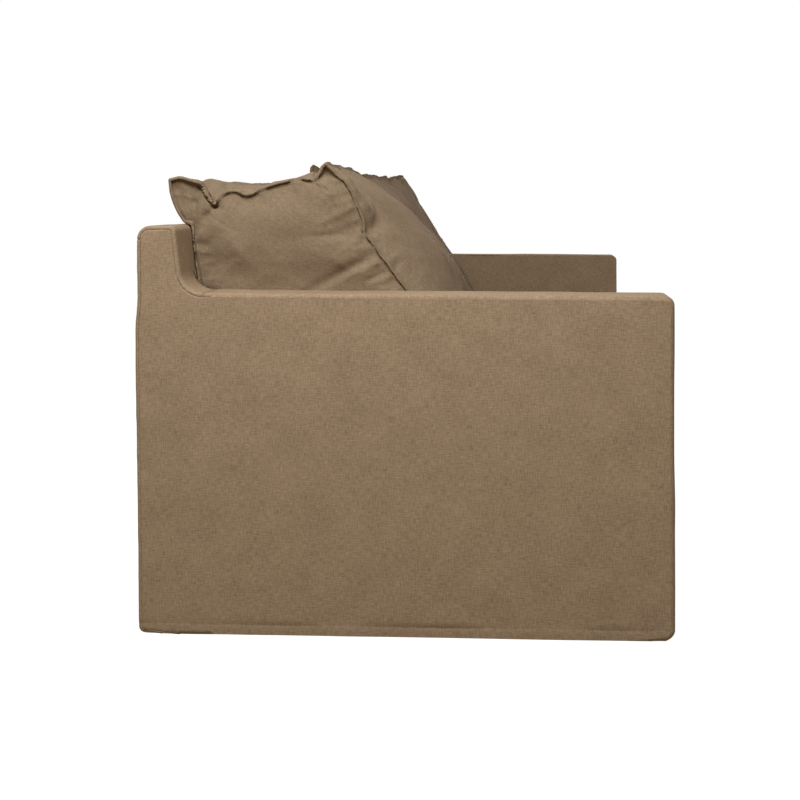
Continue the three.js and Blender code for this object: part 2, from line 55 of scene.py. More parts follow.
# %% [markdown]
# ## The camera
# The picture looks straight at the end of the sofa from about eye height of someone who sits. The far arm shows to
# the left of the near arm's front, so the camera stands towards the front of the sofa. A camera that is only turned
# to the middle of the sofa would make the near arm lean. A view camera slides its lens for that, and so does this
# one, but only a little, because the other views keep the slide. The rest is turning.

# %% Place the camera
CAMERA_PLACE = Vector((-3.889, -0.269, 0.849))
TURN_LEFT, TURN_DOWN, ROLL_LEFT = math.radians(4.40), math.radians(1.53), math.radians(-0.38)


def placed(name, data):
    thing = bpy.data.objects.new(name, data)
    bpy.context.scene.collection.objects.link(thing)
    return thing


lens = bpy.data.cameras.new("end_view")
lens.sensor_width = 36
lens.lens = 65.3
lens.shift_x, lens.shift_y = -0.035, -0.20
camera = placed("end_view", lens)
level = math.cos(TURN_DOWN)
sight = Vector((math.cos(TURN_LEFT) * level, math.sin(TURN_LEFT) * level, -math.sin(TURN_DOWN)))
camera.rotation_euler = sight.to_track_quat("-Z", "Y").to_euler()
camera.rotation_euler.rotate_axis("Z", ROLL_LEFT)
camera.location = CAMERA_PLACE
bpy.context.scene.camera = camera
print("lens", lens.lens, "mm, slide", round(lens.shift_x, 3), round(lens.shift_y, 3))

# %% [markdown]
# ## Colours and nodes
# A colour read from a picture is stored for screens. Blender counts in light, so one function turns a hex colour to
# linear numbers. A second one adds a node with its settings and its links, which keeps each material short.

# %% Two helpers for materials
def linear(hex_colour):
    parts = [int(hex_colour[i:i + 2], 16) / 255 for i in (1, 3, 5)]
    return [p / 12.92 if p <= 0.04045 else ((p + 0.055) / 1.055) ** 2.4 for p in parts] + [1.0]


def add_node(owner, kind, settings=(), links=()):
    tree = owner.node_tree
    node = tree.nodes.new("ShaderNode" + kind)
    for key, value in dict(settings).items():
        if isinstance(key, int) or key in node.inputs:
            node.inputs[key].default_value = value
        else:
            setattr(node, key, value)
    for key, socket in dict(links).items():
        tree.links.new(socket, node.inputs[key])
    return node


def new_material(name):
    material = bpy.data.materials.new(name)
    material.use_nodes = True
    material.node_tree.nodes.clear()
    return material


def finish_material(material, shader):
    output = add_node(material, "OutputMaterial")
    material.node_tree.links.new(shader.outputs[0], output.inputs["Surface"])
    return material


print("mid brown", [round(c, 3) for c in linear("#8e765e")])

# %% [markdown]
# ## Linen
# The cover and the cushions are one cloth: washed linen, plain woven in a warm brown. Its yarns are uneven, thick
# for a finger's length and then thin again, which weavers call slubs. Up close they are short pale and dark dashes
# that cross at a right angle. From further off the cloth looks clouded.
# A drawn weave would shimmer, so the yarns are noise that is stretched along the thread, once each way. It reads a
# UV map in metres that each cloth piece brings, so the yarns bend with the folds.

# %% Washed linen
YARN = 0.0024  # real yarns are about 0.7 mm apart, drawn coarser so that they show
SLUB = 0.014  # how long a thick place in a yarn is
CLOUD = 0.07  # the size of a washed-out patch
CLOUD_SHARE = 0.25  # how much of the colour's change is patches, and the rest is yarns


def linen(name, dark, pale):
    material = new_material(name)
    place = add_node(material, "UVMap", {"uv_map": "cloth"})
    yarns = []
    for along, across in ((SLUB, YARN), (YARN, SLUB)):
        stretch = add_node(material, "Mapping", {"Scale": (1 / along, 1 / across, 1)}, {"Vector": place.outputs[0]})
        yarns.append(add_node(material, "TexNoise", {"Scale": 1.0, "Detail": 2.0, "Roughness": 0.6},
                              {"Vector": stretch.outputs[0]}).outputs["Fac"])
    weave = add_node(material, "Math", {"operation": "ADD"}, {0: yarns[0], 1: yarns[1]})
    slubs = add_node(material, "MapRange", {"From Min": 0.68, "From Max": 1.32}, {"Value": weave.outputs[0]})
    cloud = add_node(material, "TexNoise", {"Scale": 1 / CLOUD, "Detail": 5.0, "Roughness": 0.65},
                     {"Vector": place.outputs[0]})
    patches = add_node(material, "MapRange", {"From Min": 0.3, "From Max": 0.7}, {"Value": cloud.outputs["Fac"]})
    share = add_node(material, "Mix", {0: CLOUD_SHARE}, {2: slubs.outputs[0], 3: patches.outputs[0]})
    cloth = add_node(material, "Mix", {"data_type": "RGBA", 6: linear(dark), 7: linear(pale)},
                     {0: share.outputs[0]})
    bump = add_node(material, "Bump", {"Strength": 0.4, "Distance": 0.0006}, {"Height": weave.outputs[0]})
    # Washing takes the gloss off linen, so it only scatters light.
    shader = add_node(material, "BsdfPrincipled", {"Roughness": 0.95, "Specular IOR Level": 0.1},
                      {"Base Color": cloth.outputs[2], "Normal": bump.outputs[0]})
    return finish_material(material, shader)


COVER_LINEN = linen("washed_linen_cover", "#7a634b", "#a48a6e")
# The cushions get a darker copy of the same linen: painted shade, because the cushions stand back from the near arm
# and curve away from the light.
SHADED_CUSHION_LINEN = linen("washed_linen_cushion_painted_shade", "#6c5842", "#8f7860")
print("yarns drawn", YARN * 1000, "mm apart")

# %% [markdown]
# ## The slipcover's form
# A slipcover is cut as flat panels: a side, an arm band, an inside back, an outside back, a seat deck and a front
# border. They are sewn inside out, so that outside only a fine groove shows where two panels turn inwards.
# Panels made one by one would leave gaps at those grooves. So the whole cover is first made as one skin, then cut
# apart along its seams. The skin starts as the outline of the sofa's end, one flat face. A vertex
# bevel rounds each corner to its own radius, which is exact and leaves nothing to draw.

# %% Draw the end of the sofa
SIDE_LOW, SIDE_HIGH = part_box("cover_side_left")
ARM_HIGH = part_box("cover_arm_left")[1]
DECK_LOW, DECK_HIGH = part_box("cover_seat_deck")
BACK_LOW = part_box("cover_inside_back")[0]

SIDE_X, ARM_X = SIDE_LOW.x, ARM_HIGH.x
FRONT, REAR, HEM, TOP = SIDE_LOW.y, SIDE_HIGH.y, SIDE_LOW.z, SIDE_HIGH.z
DECK = DECK_HIGH.z
BORDER = DECK_LOW.y
BACK_FOOT = Vector((0, BACK_LOW.y, DECK))
BACK_HEAD = Vector((0, REAR - 0.082, TOP))  # where the leaning face meets the top of the back
ARM_FRONT_HEIGHT, ARM_REAR_HEIGHT = 0.664, ARM_HIGH.z  # the arm's top falls a little towards its front
REAR_STEP = 0.005  # how far the outside back stands in above the arms
REAR_ROUND = 0.027  # radius of the back's rear top edge, which ends at a seam
REAR_SEAM = TOP - REAR_ROUND
ARM_END = ARM_HIGH.y - 0.04  # the arm's band is sewn to the back here


def back_face(z):
    return BACK_FOOT.lerp(BACK_HEAD, (z - DECK) / (TOP - DECK)).y


OUTLINE = [  # y, z and the radius of each corner
    (FRONT, HEM, 0.023),
    (FRONT, ARM_FRONT_HEIGHT, 0.017),
    (back_face(ARM_REAR_HEIGHT), ARM_REAR_HEIGHT, 0.040),
    (BACK_HEAD.y, TOP, 0.012),
    (REAR - REAR_STEP, TOP, REAR_ROUND),
    (REAR - REAR_STEP, 0.665, 0),
    (REAR - REAR_STEP * 0.84, 0.648, 0),
    (REAR - REAR_STEP * 0.16, 0.617, 0),
    (REAR, 0.600, 0),
    (REAR, HEM, 0.013),
]
cover = bmesh.new()
corners = [cover.verts.new((SIDE_X, y, z)) for y, z, _ in OUTLINE]
cover.faces.new(corners)
for corner, (_, _, radius) in zip(corners, OUTLINE):
    if radius:
        bmesh.ops.bevel(cover, geom=[corner], offset=radius, offset_type="OFFSET", segments=7,
                        profile=0.5, affect="VERTICES", material=-1)
print("corners after rounding", len(cover.verts))

# %% [markdown]
# The end is extruded by the arm's thickness. Then three cuts on its inner face, at the seat deck, at the front
# border and along the leaning back, mark the part that carries on between the arms. That part is extruded to the
# middle. Only half is made here, because half the work is enough until the wrinkles come.

# %% Extrude the arm, then the seat and back
def faces_of(made):
    return [part for part in made if isinstance(part, bmesh.types.BMFace)]


def extruded(bm, faces, reach):
    made = bmesh.ops.extrude_face_region(bm, geom=faces)["geom"]
    moved = [part for part in made if isinstance(part, bmesh.types.BMVert)]
    bmesh.ops.translate(bm, verts=moved, vec=(reach, 0, 0))
    return faces_of(made)


def sliced(bm, faces, point, normal):
    parts = set(faces)
    for face in faces:
        parts.update(face.verts)
        parts.update(face.edges)
    made = bmesh.ops.bisect_plane(bm, geom=list(parts), dist=1e-6, plane_co=point, plane_no=normal)
    return faces_of(made["geom"])


inner = sliced(cover, extruded(cover, cover.faces[:], ARM_X - SIDE_X), (0, 0, DECK), (0, 0, 1))
low = [face for face in inner if face.calc_center_median().z < DECK]
high = [face for face in inner if face.calc_center_median().z > DECK]
low = sliced(cover, low, (0, BORDER, 0), (0, 1, 0))
lean = (BACK_HEAD - BACK_FOOT).normalized()
HAIR = 0.0002  # the cut keeps this far off the leaning face, because a cut along an edge is no cut
high = sliced(cover, high, BACK_FOOT - Vector((0, HAIR, 0)), Vector((0, lean.z, -lean.y)))
between_arms = [face for face in low if face.calc_center_median().y > BORDER]
between_arms += [face for face in high if face.calc_center_median().y > back_face(face.calc_center_median().z) - HAIR]
middle = extruded(cover, between_arms, -ARM_X)
bmesh.ops.delete(cover, geom=middle + between_arms, context="FACES_ONLY")
floor_faces = [face for face in cover.faces if max(v.co.z for v in face.verts) < HEM + HAIR]
bmesh.ops.delete(cover, geom=floor_faces, context="FACES")
bmesh.ops.recalc_face_normals(cover, faces=cover.faces[:])
print("faces", len(cover.faces), "between the arms", len(between_arms))

# %% [markdown]
# ## Rolled edges and seams
# Cloth over wadding never makes a knife edge. A bevel of 8 mm in three steps rolls the rim of the side panel and
# the inner edge of the arm. The seam of a slipcover sits where that roll ends, on the flat side, so a thin inset
# there gives the seam its two banks.
# After that the skin is cut into a grid, like graph paper, with planes along all three axes. Cutting with planes
# keeps each panel's outline exact, where a subdivision would round it off.

# %% Roll the edges
ROLL, INNER_ROLL = 0.008, 0.006
BANK = 0.003  # from a seam to where the cloth lies flat again


def rolled(bm, edges, radius):
    bmesh.ops.bevel(bm, geom=edges, offset=radius, offset_type="OFFSET", segments=3, profile=0.5,
                    affect="EDGES", material=-1, clamp_overlap=True)


def on_plane(edge, x):
    return all(abs(v.co.x - x) < HAIR for v in edge.verts)


def bends(edge, least=0.5):
    return len(edge.link_faces) == 2 and edge.calc_face_angle(0) > least


rolled(cover, [edge for edge in cover.edges if on_plane(edge, SIDE_X) and bends(edge)], ROLL)
arm_rim = [edge for edge in cover.edges if on_plane(edge, ARM_X) and bends(edge)
           and any(face.normal.x > 0.9 for face in edge.link_faces)
           and any(face.calc_center_median().x < ARM_X - HAIR for face in edge.link_faces)
           and max(v.co.y for v in edge.verts) < BACK_FOOT.y + ROLL * 6]
rolled(cover, arm_rim, INNER_ROLL)
cover.normal_update()
flat_side = [face for face in cover.faces if face.normal.x < -0.999 and len(face.verts) > 8]
bmesh.ops.inset_region(cover, faces=flat_side, thickness=BANK, depth=0, use_boundary=False)
for vert in cover.verts:  # the inset also lifts the open hem, which goes back down
    if vert.is_boundary and vert.co.z < HEM + BANK + HAIR:
        vert.co.z = HEM
print("faces", len(cover.faces), "side panels", len(flat_side))

# %% Name the panels, then cut the grid
PANELS = ["side", "arm", "inside_back", "outside_back", "seat_deck", "front_border"]


def panel_of(face):
    middle, normal = face.calc_center_median(), face.normal
    if normal.x < -0.999 and middle.x < SIDE_X + HAIR:
        return "side"
    if abs(middle.z - DECK) < HAIR * 5 and normal.z > 0.9:
        return "seat_deck"
    if normal.x > 0.3 or (middle.x < ARM_X and middle.y < ARM_END):
        return "arm"
    if middle.y < BORDER + 0.03:
        return "front_border"
    return "outside_back" if middle.z < REAR_SEAM and middle.y > BACK_HEAD.y + 0.05 else "inside_back"


for face in cover.faces:
    face.material_index = PANELS.index(panel_of(face))


def cut_at(bm, place, direction):
    parts = bm.verts[:] + bm.edges[:] + bm.faces[:]
    bmesh.ops.bisect_plane(bm, geom=parts, dist=1e-5, plane_co=place, plane_no=direction)


def grid(bm, axis, stations, step):
    direction = Vector([float(axis == i) for i in range(3)])
    for start, end in zip(stations, stations[1:]):
        count = max(round((end - start) / step), 1)
        for part in range(1, count):
            cut_at(bm, direction * (start + (end - start) * part / count), direction)


X_STEP, YZ_STEP = ((0.016, 0.010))
STITCH_LINE = 0.021  # the hem is turned up and stitched this far above the floor
grid(cover, 0, (SIDE_X + ROLL, ARM_X - INNER_ROLL), X_STEP)
grid(cover, 0, (ARM_X, 0), X_STEP)
grid(cover, 1, (FRONT, BORDER, ARM_END, ARM_HIGH.y, REAR - REAR_ROUND, REAR), YZ_STEP)
grid(cover, 2, (HEM, STITCH_LINE - BANK, STITCH_LINE), 0.01)
grid(cover, 2, (STITCH_LINE + BANK, DECK, ARM_FRONT_HEIGHT - ROLL - BANK, REAR_SEAM - BANK, TOP), YZ_STEP)
for height in (STITCH_LINE - BANK / 2, STITCH_LINE, STITCH_LINE + BANK / 2, REAR_SEAM - BANK, REAR_SEAM + BANK):
    cut_at(cover, (0, 0, height), (0, 0, 1))
bmesh.ops.dissolve_degenerate(cover, dist=HAIR, edges=cover.edges[:])
print("faces on half the cover", len(cover.faces), "after", round(time.time() - began, 1), "s")

# %% [markdown]
# The other half is a mirror of the first. Only now comes what makes it cloth. Every point moves a little along its
# normal: in at a seam, in at the line of stitches above the hem, and softly in and out everywhere, because cloth on
# wadding is never quite flat. The numbers are small. A picture shows a millimetre of relief as a whole shade.
# Along the arms the seam lies so flat that it doesn't show, and there it has no depth.

# %% Turn the form into cloth
bmesh.ops.mirror(cover, geom=cover.verts[:] + cover.edges[:] + cover.faces[:], axis="X", merge_dist=1e-5)
bmesh.ops.recalc_face_normals(cover, faces=cover.faces[:])
cover.normal_update()
cloth_map = cover.loops.layers.uv.new("cloth")
panel_areas = {}
for face in cover.faces:
    middle, normal = face.calc_center_median(), face.normal
    key = (PANELS[face.material_index], "left" if middle.x < 0 else "right")
    panel_areas[key] = panel_areas.get(key, 0) + face.calc_area()
    axis = max(range(3), key=lambda i: abs(normal[i]))
    for loop in face.loops:
        u, v = [loop.vert.co[i] for i in range(3) if i != axis]
        loop[cloth_map].uv = (u + axis * 3.1 + face.material_index * 1.7, v + (middle.x > 0) * 2.3)


def seam_at(vert):
    return len({face.material_index for face in vert.link_faces}) > 1


SEAM_DEPTH, STITCH_DEPTH = 0.0008, 0.0004
SOFT_SWELL, FINE_SWELL = 0.0016, 0.0007
HEM_SWAY, HEM_WAVE, HEM_LEAST = 0.0016, 0.0012, 0.0012  # in and out, up and down, and how low the hem may hang
REAR_PUCKER, PUCKER_REACH = 0.0009, 0.012  # the near rear seam puckers a little


def seam_depth(place):
    rim = abs(place.x) > -SIDE_X - ROLL and place.y < BACK_HEAD.y - 0.06
    return 0 if rim else SEAM_DEPTH


moves = {}
for vert in cover.verts:
    place = vert.co.copy()
    swell = SOFT_SWELL * noise.noise(place * 4.2) + FINE_SWELL * noise.noise(place * 13 + Vector((5, 0, 0)))
    if seam_at(vert):
        swell -= seam_depth(place)
    if abs(place.z - STITCH_LINE) < HAIR:
        swell -= STITCH_DEPTH
    if place.z < STITCH_LINE:
        swell += HEM_SWAY * noise.noise(Vector((place.x * 7, place.y * 7, 9)))
    near_rear_seam = math.exp(-((REAR - ROLL - place.y) / PUCKER_REACH) ** 2) if place.x < SIDE_X + ROLL else 0
    swell += REAR_PUCKER * near_rear_seam * noise.noise(Vector((3, 1, place.z * 38)))
    moves[vert] = vert.normal * swell
for vert, move in moves.items():
    vert.co += move
    if vert.co.z < HEM + HAIR * 5:
        vert.co.z = max(HEM + HEM_WAVE * noise.noise(Vector((vert.co.x * 6, vert.co.y * 6, 4))), HEM_LEAST)
print("the cover's cloth", round(sum(panel_areas.values()), 2), "square metres")

# %% [markdown]
# ## Cutting the panels
# Each panel becomes its own piece, as it is on a cutter's table, and stands for the CAD panel of the same name. A
# Solidify modifier gives the cloth its thickness inwards, so that the outside keeps the measured size.

# %% Cut the panels apart
CLOTH_THICKNESS = 0.0012


def panel_piece(name, bm, keep, node):
    cut = bm.copy()
    bmesh.ops.delete(cut, geom=[face for face in cut.faces if not keep(face)], context="FACES")
    for face in cut.faces:
        face.smooth, face.material_index = True, 0
    for edge in cut.edges:  # along the arms, the shading of a cut's edge stays off the flat cloth
        edge.smooth = not edge.is_boundary or any(seam_depth(vert.co) for vert in edge.verts)
    mesh = bpy.data.meshes.new(name)
    cut.to_mesh(mesh)
    cut.free()
    mesh.materials.append(COVER_LINEN)
    piece = placed(name, mesh)
    thick = piece.modifiers.new("cloth thickness", "SOLIDIFY")
    thick.thickness, thick.offset = CLOTH_THICKNESS, -1
    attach(piece, "sofa_body")
    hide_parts(node)


def panel_kept(panel, side=None):
    def keep(face):
        on_side = side is None or (face.calc_center_median().x < 0) == (side == "left")
        return on_side and PANELS[face.material_index] == panel
    return keep


for side in ("left", "right"):
    panel_piece("slipcover_side_" + side, cover, panel_kept("side", side), "cover_side_" + side)
    panel_piece("slipcover_arm_" + side, cover, panel_kept("arm", side), "cover_arm_" + side)
LONG_PANELS = [  # each runs the length of the sofa: name, cut height and what it rests on
    ("inside_back", 0.62, ["back_pad"]), ("outside_back", 0.80, ["back_top_rail"]),
    ("seat_deck", 0.92, ["seat_deck_pad"]), ("front_border", 0.34, ["seat_rail_front"]),
]
for panel, height, rests_on in LONG_PANELS:
    panel_piece("slipcover_" + panel, cover, panel_kept(panel), "cover_" + panel)
cover.free()
print("panels cut after", round(time.time() - began, 1), "s")

# %% [markdown]
# ## Loose cushions: the pattern
# Each cushion is boxed: two faces joined by a strip all round, so it has a seam along all twelve edges of a box. It
# is filled with feathers and is larger than its filling. So the corners stay empty and stand up as ears, the seams
# pucker where the stitches draw the cloth together, and the faces swell.
# A cube has just these twelve edges, so each cushion starts as a cube that is cut into a grid. Its ends are drawn
# as lines of depth from the sofa's rear and height: a rear, a front and a top seam. The near end's lines have every
# kink that the picture shows. The other ends are plain, and only their corners differ.

# %% The end seams of the back cushions
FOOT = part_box("seat_cushion_left")[1].z + 0.001  # just above the seat cushions
PLAIN_REAR = [(.124, FOOT), (.105, .640), (.088, .795), (.064, .812)]
PLAIN_FRONT = [(.655, FOOT), (.540, .650), (.430, .790)]
NEAR_END = {
    "ear": (.045, .895), "nose": (.364, .924),
    "rear": [(.124, FOOT), (.108, .640), (.098, .701), (.087, .766), (.084, .798), (.072, .813), (.060, .832),
             (.051, .853), (.046, .873), (.045, .895)],
    "front": [(.655, FOOT), (.600, .570), (.536, .657), (.519, .677), (.502, .700), (.487, .724), (.475, .735),
              (.464, .752), (.452, .770), (.438, .784), (.439, .802), (.436, .816), (.426, .840), (.417, .863),
              (.409, .877), (.401, .891), (.391, .896), (.377, .913), (.364, .924)],
    "top": [(.045, .895), (.064, .900), (.088, .893), (.105, .888), (.115, .870), (.129, .846), (.139, .846),
            (.145, .859), (.159, .870), (.176, .872), (.189, .868), (.198, .863), (.213, .866), (.240, .879),
            (.267, .887), (.294, .892), (.322, .896), (.342, .890), (.350, .905), (.354, .912), (.358, .919),
            (.364, .924)],
}


def plain_end(ear, nose, spike=()):
    tip = list(spike) or [ear]
    middle = ((ear[0] + nose[0]) / 2, ear[1] + (nose[1] - ear[1]) / 8 - 0.004)
    return {"ear": ear, "nose": nose, "rear": PLAIN_REAR + tip[:1], "front": PLAIN_FRONT + [nose],
            "top": tip + [middle, nose]}


def part_way(points, share):
    steps = [math.dist(a, b) for a, b in zip(points, points[1:])]
    left = share * sum(steps)
    for (a, b), step in zip(zip(points, points[1:]), steps):
        if left <= step or b is points[-1]:
            return Vector(a).lerp(Vector(b), min(left / step, 1))
        left -= step


print("kinks on the near end", sum(len(line) for line in NEAR_END.values()))

# %% [markdown]
# ## Loose cushions: the cube
# The cube's edges are subdivided one direction at a time, so the grid can be as fine as each side needs. Every
# vertex then goes from its place in the cube to its place in the cushion. The UV map is taken from the cube too,
# in metres, so the yarns run straight along each panel before the cloth starts to wrinkle.

# %% Cut a cube into a cushion's grid
BROAD, BOXING = 0, 1  # face numbers: the broad panels and top, and the strips at both ends


def gridded_cube(size, steps, offset):
    bm = bmesh.new()
    bmesh.ops.create_cube(bm, size=2)
    for axis in range(3):
        count = max(round(size[axis] / steps[axis]), 4)
        along = [edge for edge in bm.edges if abs(edge.verts[0].co[axis] - edge.verts[1].co[axis]) > 1]
        bmesh.ops.subdivide_edges(bm, edges=along, cuts=count - 1, use_grid_fill=False)
    home = bm.verts.layers.float_vector.new("home")
    for vert in bm.verts:
        vert[home] = vert.co
    cloth = bm.loops.layers.uv.new("cloth")
    bm.normal_update()
    for face in bm.faces:
        face.smooth = True
        axis = max(range(3), key=lambda i: abs(face.normal[i]))
        face.material_index = BROAD if axis else BOXING
        for loop in face.loops:
            spot = [loop.vert.co[i] * size[i] / 2 for i in range(3)]
            del spot[axis]
            loop[cloth].uv = (spot[0] + axis * 2.7 + offset, spot[1] + offset)
    for edge in bm.edges:
        a, b = edge.verts
        edge.seam = sum(abs(a.co[i]) > .999 and abs(a.co[i] - b.co[i]) < .001 for i in range(3)) == 2
    return bm


test = gridded_cube((.6, .5, .4), (.1, .1, .1), 0)
print(len(test.faces), "faces and", sum(edge.seam for edge in test.edges), "seam edges")
test.free()

# %% [markdown]
# A seam gathers the cloth beside it into short wrinkles that run away from it. Noise that changes quickly along the
# seam and slowly across it draws them, and they fade within a few centimetres. Its absolute value gives them sharp
# valleys and round hills, as folds in cloth have. Broad dents and a few folds in any direction come on top.
# Every vertex remembers its home in the cube, so the wrinkles can be drawn after the cushion has its form.

# %% Wrinkles beside the seams
GATHER, GATHER_PITCH, GATHER_REACH = 0.0040, 0.026, 0.045
LONG_SEAM_SHARE = 0.12  # the long seams are sewn over a straight edge and gather little
DENT, DENT_SIZE = 0.0055, 0.085
FOLD, FOLD_SIZE = 0.0022, 0.075
STITCHED = 0.010  # the stitches hold the cloth this far from a seam


def gathers(bm, size, seed):
    home = bm.verts.layers.float_vector["home"]
    relief = []
    for vert in bm.verts:
        spot = Vector([vert[home][i] * size[i] / 2 for i in range(3)])
        inset = [size[i] / 2 - abs(spot[i]) for i in range(3)]
        onto, across, along = sorted(range(3), key=lambda i: inset[i])
        face_seed = seed + onto * 5 + across * 3
        run = spot[along] / GATHER_PITCH
        wave = noise.noise(Vector((run, inset[across] / 0.09, face_seed)))
        wave += 0.25 - abs(noise.noise(Vector((run * 1.7, inset[across] / 0.06, face_seed + 40))))
        wave *= 1 if along else LONG_SEAM_SHARE
        dent = noise.noise(spot / DENT_SIZE + Vector((seed, 3, 0)))
        bent = spot / FOLD_SIZE + noise.noise_vector(spot / 0.12) * 0.8 + Vector((seed, 0, 8))
        fold = 0.2 - abs(noise.noise(bent))
        free = min(inset[across] / STITCHED, 1)
        relief.append(free * (GATHER * wave * math.exp(-inset[across] / GATHER_REACH) + DENT * dent + FOLD * fold))
    return relief


print("wrinkles every", GATHER_PITCH * 1000, "mm at a seam")

# %% [markdown]
# A vertex on the end seam goes exactly where the seam's line says. Away from the end the kinks die out within a
# hand's width, and the plain line takes over. The crown swells the front, the strip at each end bulges, and the top
# seams sag between the ears. High powers keep an effect close to one edge of the cube, and arch() fades it out at
# two opposite edges.

# %% Give the cube a back cushion's shape
KINK_REACH = 0.070
RISE = 0.12  # an end bulges over the arm in full from this far above it


def arch(share, fullness=0.7):
    return max(1 - share * share, 0) ** fullness


def over_arm(height):
    above = min(max((height - ARM_REAR_HEIGHT) / RISE, 0), 1)
    return above * above * (3 - 2 * above)


def back_cushion_form(bm, low_x, high_x, ends, shape, seed):
    middle, half = (low_x + high_x) / 2, (high_x - low_x) / 2
    slope = (Vector(PLAIN_FRONT[0]) - Vector(PLAIN_FRONT[2])).normalized()
    for vert in bm.verts:
        u, v, w = vert.co
        up, out, side = (v + 1) / 2, (w + 1) / 2, (u + 1) / 2  # from foot to top, rear to front, end to end
        ear, nose = (Vector(ends[0][corner]).lerp(Vector(ends[1][corner]), side) for corner in ("ear", "nose"))
        plain_rear, plain_front = part_way(PLAIN_REAR + [ear], up), part_way(PLAIN_FRONT + [nose], up)
        hollow = Vector((0, (nose.y - ear.y) * (out - out ** 8)))
        spot = plain_rear.lerp(plain_front, out) - hollow * up ** 8
        near_rear, near_front = (1 - out) ** 3, out ** 3
        # each end pulls the plain shape to its own three seams
        for end, away in zip(ends, (side, 1 - side)):
            fade = math.exp(-(away * half * 2 / KINK_REACH) ** 2)
            rear_move, front_move = part_way(end["rear"], up) - plain_rear, part_way(end["front"], up) - plain_front
            at_top = ear.lerp(nose, out) - hollow
            at_top += (Vector(end["rear"][-1]) - ear) * near_rear + (Vector(end["front"][-1]) - nose) * near_front
            top_move = part_way(end["top"], out) - at_top
            spot = spot + (rear_move * near_rear + front_move * near_front + top_move * up ** 5) * fade
        depth, height = spot
        # the crown and the lean, then the sagging top, then an uneven filling
        swell = shape["crown"] * arch(u) * arch(v, 0.9) * out ** 4
        depth += swell * -slope.y - (shape["lean"][0] * (1 - side) + shape["lean"][1] * side) * (1 - up)
        sunk = shape["dip"] * (1 - w * w) * (0.9 + 0.3 * w) + 0.002 - 0.007 * out
        height += swell * slope.x - sunk * arch(u, 0.6) * up ** 8
        ripple = shape["wander"] * noise.noise(Vector((u * 3.1, v * 2.3, w * 2.7)) + Vector((seed, 0, 0)))
        height += ripple * arch(u, 0.3) * up ** 3
        depth += ripple * arch(u, 0.3) * out ** 2 * up
        # the ends are drawn in along their seams and bulge between them
        near_end = abs(u) ** 12
        drawn_in = (0.010 * arch(v) + 0.006 * arch(w)) * near_end
        bulge = shape["bulge"][int(side > 0.5)] * arch(v) * arch(w) * near_end * over_arm(height)
        vert.co = (middle + u * (half - 0.001 - drawn_in + bulge), REAR - depth, height)


print("kinks fade within", KINK_REACH * 1000, "mm")

# %% [markdown]
# ## Loose cushions: the cloth
# Blender's Cloth fills the cushion with air. The seams are pinned, because stitches hold them, and close to a seam
# the cloth is let out by a few percent, which is what a machine does when it gathers cloth into a seam. It has to
# go somewhere, so it wrinkles. There is no gravity, for the feathers hold the cloth up, and 20 frames are enough.
# Afterwards no point may be further from its start than the cap allows, nor inside the frame, the seat or the
# next cushion, where the cushion is pressed flat.

# %% Fill a cushion
FRAMES = 20
LET_OUT_REACH = 0.05  # the cloth is let out within this distance of a seam


def filled(piece, let_out, pressure):
    mesh = piece.data
    seams = {index for edge in mesh.edges if edge.use_seam for index in edge.vertices}
    pins = piece.vertex_groups.new(name="stitched")
    pins.add(sorted(seams), 1.0, "REPLACE")
    gather = piece.vertex_groups.new(name="gathered")
    seam_tree = kdtree.KDTree(len(seams))
    for index in seams:
        seam_tree.insert(mesh.vertices[index].co, index)
    seam_tree.balance()
    for vert in mesh.vertices:
        reach = seam_tree.find(vert.co)[2]
        gather.add([vert.index], math.exp(-(reach / LET_OUT_REACH) ** 2), "REPLACE")
    cloth = piece.modifiers.new("feathers", "CLOTH")
    setting = cloth.settings
    setting.quality, setting.mass, setting.air_damping = 6, 0.25, 1.0
    setting.tension_stiffness = setting.compression_stiffness = 18
    setting.shear_stiffness, setting.bending_stiffness = 6, 0.3
    setting.vertex_group_mass = "stitched"
    setting.vertex_group_shrink = "gathered"
    setting.shrink_min, setting.shrink_max = -0.01, -let_out
    setting.use_pressure, setting.uniform_pressure_force = True, pressure
    setting.effector_weights.gravity = 0
    cloth.point_cache.frame_start, cloth.point_cache.frame_end = 1, FRAMES
    scene = bpy.context.scene
    for frame_number in range(1, FRAMES + 1):
        scene.frame_set(frame_number)
    evaluated = piece.evaluated_get(bpy.context.evaluated_depsgraph_get())
    result = [vert.co.copy() for vert in evaluated.data.vertices]
    piece.modifiers.remove(cloth)
    piece.vertex_groups.clear()
    scene.frame_set(1)
    return result


def capped(start, end, cap):
    move = end - start
    return start + move * min(1, cap / max(move.length, 1e-9))


print("simulated frames", FRAMES)

# %% [markdown]
# ## Loose cushions: the seams
# The picture shows how the seams are sewn. The broad panel rolls over the seam as a soft lip, and the strip at the
# end is tucked in under it, which leaves a dark groove. Both are finer than the grid, so they come last. A bevel
# makes a strip of three faces along each seam. Its bank on the end strip is pushed in, the line next to that comes
# forward, and the other two stand out as the lip.

# %% Sew the seams
SEAM_WIDTH, LIP, GROOVE = 0.0056, 0.0042, 0.0082
LIP_MIDDLE = 1.3  # the lip's two middle lines stand out this much more


